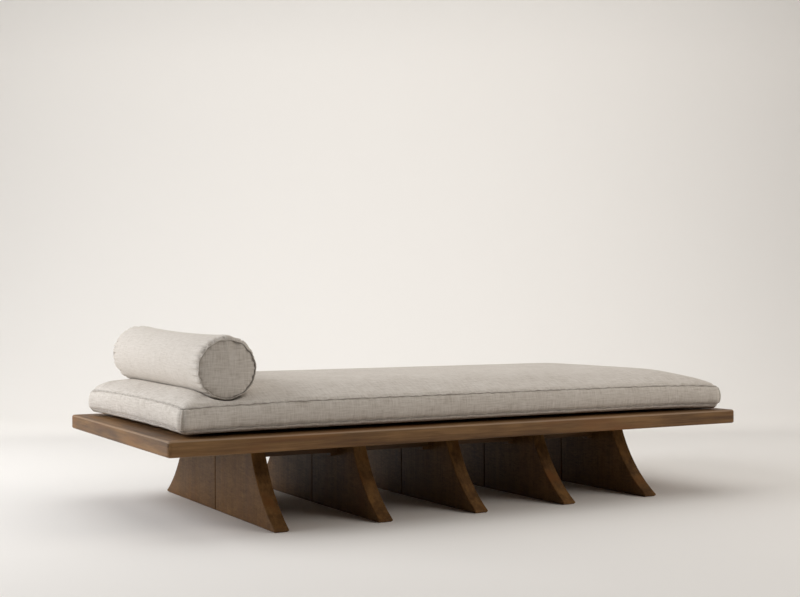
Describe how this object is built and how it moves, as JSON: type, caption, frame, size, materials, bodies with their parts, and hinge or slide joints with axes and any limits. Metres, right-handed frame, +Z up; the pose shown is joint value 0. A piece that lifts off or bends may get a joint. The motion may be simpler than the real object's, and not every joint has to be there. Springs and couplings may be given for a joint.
{
  "type": "daybed",
  "caption": "Low daybed: mitred timber platform on curved fin legs tied by two rails, with a loose box mattress and a loose bolster in zipped covers.",
  "frame": {"origin": "on the floor under the middle of the platform", "axes": "+X along the length towards the foot end, +Y towards the back, +Z up; the bolster lies at -X and the front is -Y"},
  "size_m": [2, 1, 0.5695],
  "materials": {
    "platform_timber": "satin",
    "deck_timber": "satin",
    "leg_timber": "satin",
    "tie_timber": "satin",
    "joinery_timber": "matte",
    "screw_steel": "satin",
    "zip_tape": "matte",
    "zip_teeth": "satin",
    "zip_metal": "satin",
    "filling": "matte",
    "welt_linen": "matte",
    "bolster_linen": "matte",
    "mattress_linen": "matte"
  },
  "bodies": {
    "frame": {"corner_splines": "joinery_timber", "cross_rail_1": "platform_timber", "cross_rail_2": "platform_timber", "cross_rail_3": "platform_timber", "cross_rail_4": "platform_timber", "cross_rail_5": "platform_timber", "deck_board_1": "deck_timber", "deck_board_2": "deck_timber", "deck_board_3": "deck_timber", "deck_board_4": "deck_timber", "deck_board_5": "deck_timber", "deck_board_6": "deck_timber", "deck_board_7": "deck_timber", "deck_board_8": "deck_timber", "deck_screws": "screw_steel", "frame_screws": "screw_steel", "leg_1_back_board": "leg_timber", "leg_1_front_board": "leg_timber", "leg_2_back_board": "leg_timber", "leg_2_front_board": "leg_timber", "leg_3_back_board": "leg_timber", "leg_3_front_board": "leg_timber", "leg_4_back_board": "leg_timber", "leg_4_front_board": "leg_timber", "leg_5_back_board": "leg_timber", "leg_5_front_board": "leg_timber", "leg_dowels": "joinery_timber", "platform_back_rail": "platform_timber", "platform_foot_rail": "platform_timber", "platform_front_rail": "platform_timber", "platform_head_rail": "platform_timber", "tie_rail_back": "tie_timber", "tie_rail_back_blocks": "tie_timber", "tie_rail_front": "tie_timber", "tie_rail_front_blocks": "tie_timber"},
    "mattress": {"mattress_back_border": "mattress_linen", "mattress_bottom_panel": "mattress_linen", "mattress_bottom_welt": "welt_linen", "mattress_core": "filling", "mattress_corner_welts": "welt_linen", "mattress_foot_border": "mattress_linen", "mattress_front_border": "mattress_linen", "mattress_head_border": "mattress_linen", "mattress_top_panel": "mattress_linen", "mattress_top_welt": "welt_linen", "mattress_zip_tape": "zip_tape", "mattress_zip_teeth": "zip_teeth"},
    "bolster": {"bolster_back_disc": "bolster_linen", "bolster_back_welt": "welt_linen", "bolster_core": "filling", "bolster_front_disc": "bolster_linen", "bolster_front_welt": "welt_linen", "bolster_sleeve": "bolster_linen", "bolster_zip_tape": "zip_tape", "bolster_zip_teeth": "zip_teeth"},
    "mattress_zip_slider": {"mattress_zip_slider": "zip_metal"},
    "mattress_zip_pull": {"mattress_zip_pull": "zip_metal"},
    "bolster_zip_slider": {"bolster_zip_slider": "zip_metal"},
    "bolster_zip_pull": {"bolster_zip_pull": "zip_metal"}
  },
  "joints": [
    {"name": "mattress_lift", "type": "slide", "parent": "frame", "child": "mattress", "axis": [0, 0, 1], "range_m": [0, 0.4]},
    {"name": "bolster_lift", "type": "slide", "parent": "mattress", "child": "bolster", "axis": [0, 0, 1], "range_m": [0, 0.3]},
    {"name": "mattress_zip_run", "type": "slide", "parent": "mattress", "child": "mattress_zip_slider", "axis": [-1, 0, 0], "range_m": [0, 1.44]},
    {"name": "mattress_zip_flip", "type": "hinge", "parent": "mattress_zip_slider", "child": "mattress_zip_pull", "pos_m": [0.718, 0.4555, 0.3304], "axis": [0, 0, 1], "range_deg": [0, 178]},
    {"name": "bolster_zip_run", "type": "slide", "parent": "bolster", "child": "bolster_zip_slider", "axis": [0, -0.9997, -0.0227], "range_m": [0, 0.5]},
    {"name": "bolster_zip_flip", "type": "hinge", "parent": "bolster_zip_slider", "child": "bolster_zip_pull", "pos_m": [-0.70792, 0.23157, 0.49113], "axis": [0.1736, 0.0223, -0.9846], "range_deg": [0, 178]}
  ]
}
